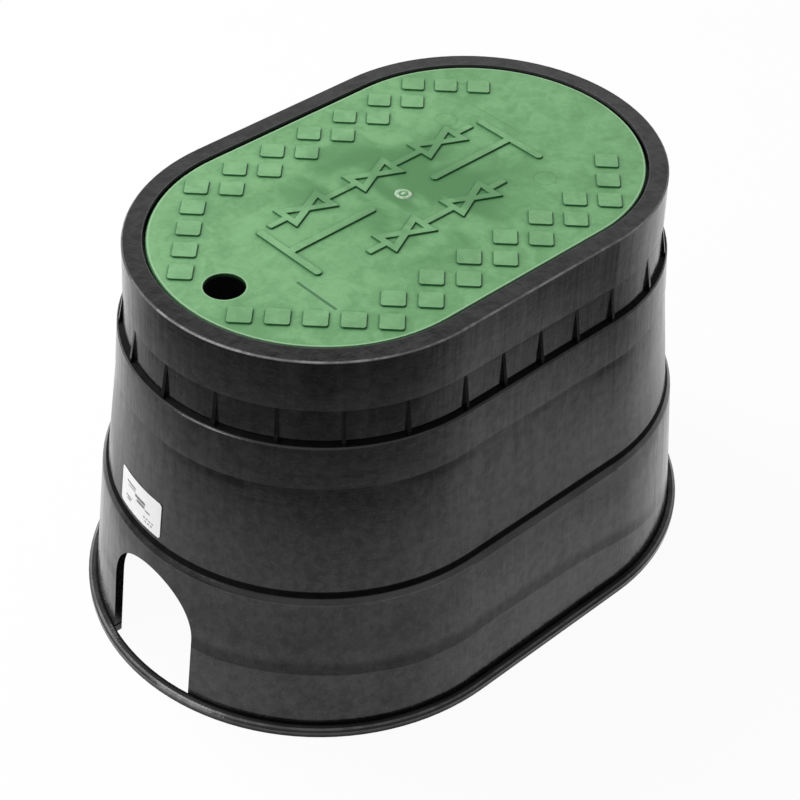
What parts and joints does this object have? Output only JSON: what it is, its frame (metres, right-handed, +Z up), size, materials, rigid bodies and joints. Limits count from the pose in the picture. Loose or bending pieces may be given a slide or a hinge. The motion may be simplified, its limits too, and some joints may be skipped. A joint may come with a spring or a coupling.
{
  "type": "irrigation valve box",
  "caption": "Oval tapered plastic ground box with ledges, gussets, arched pipe slots in both ends and a drop-in lid with raised treads and a finger hole.",
  "frame": {"origin": "on the ground under the middle of the box, the centre of the overall box's bottom face", "axes": "+X along the oval, away from the end with the finger hole and the label; +Z up out of the ground"},
  "size_m": [0.4946, 0.3488, 0.305],
  "materials": {
    "black_plastic": "satin black moulded polyolefin",
    "green_plastic": "matt green moulded polyolefin, faintly mottled",
    "label_film": "white film sticker"
  },
  "bodies": {
    "root": {"box_body": "black_plastic", "lid": "green_plastic", "label": "label_film"}
  },
  "joints": []
}
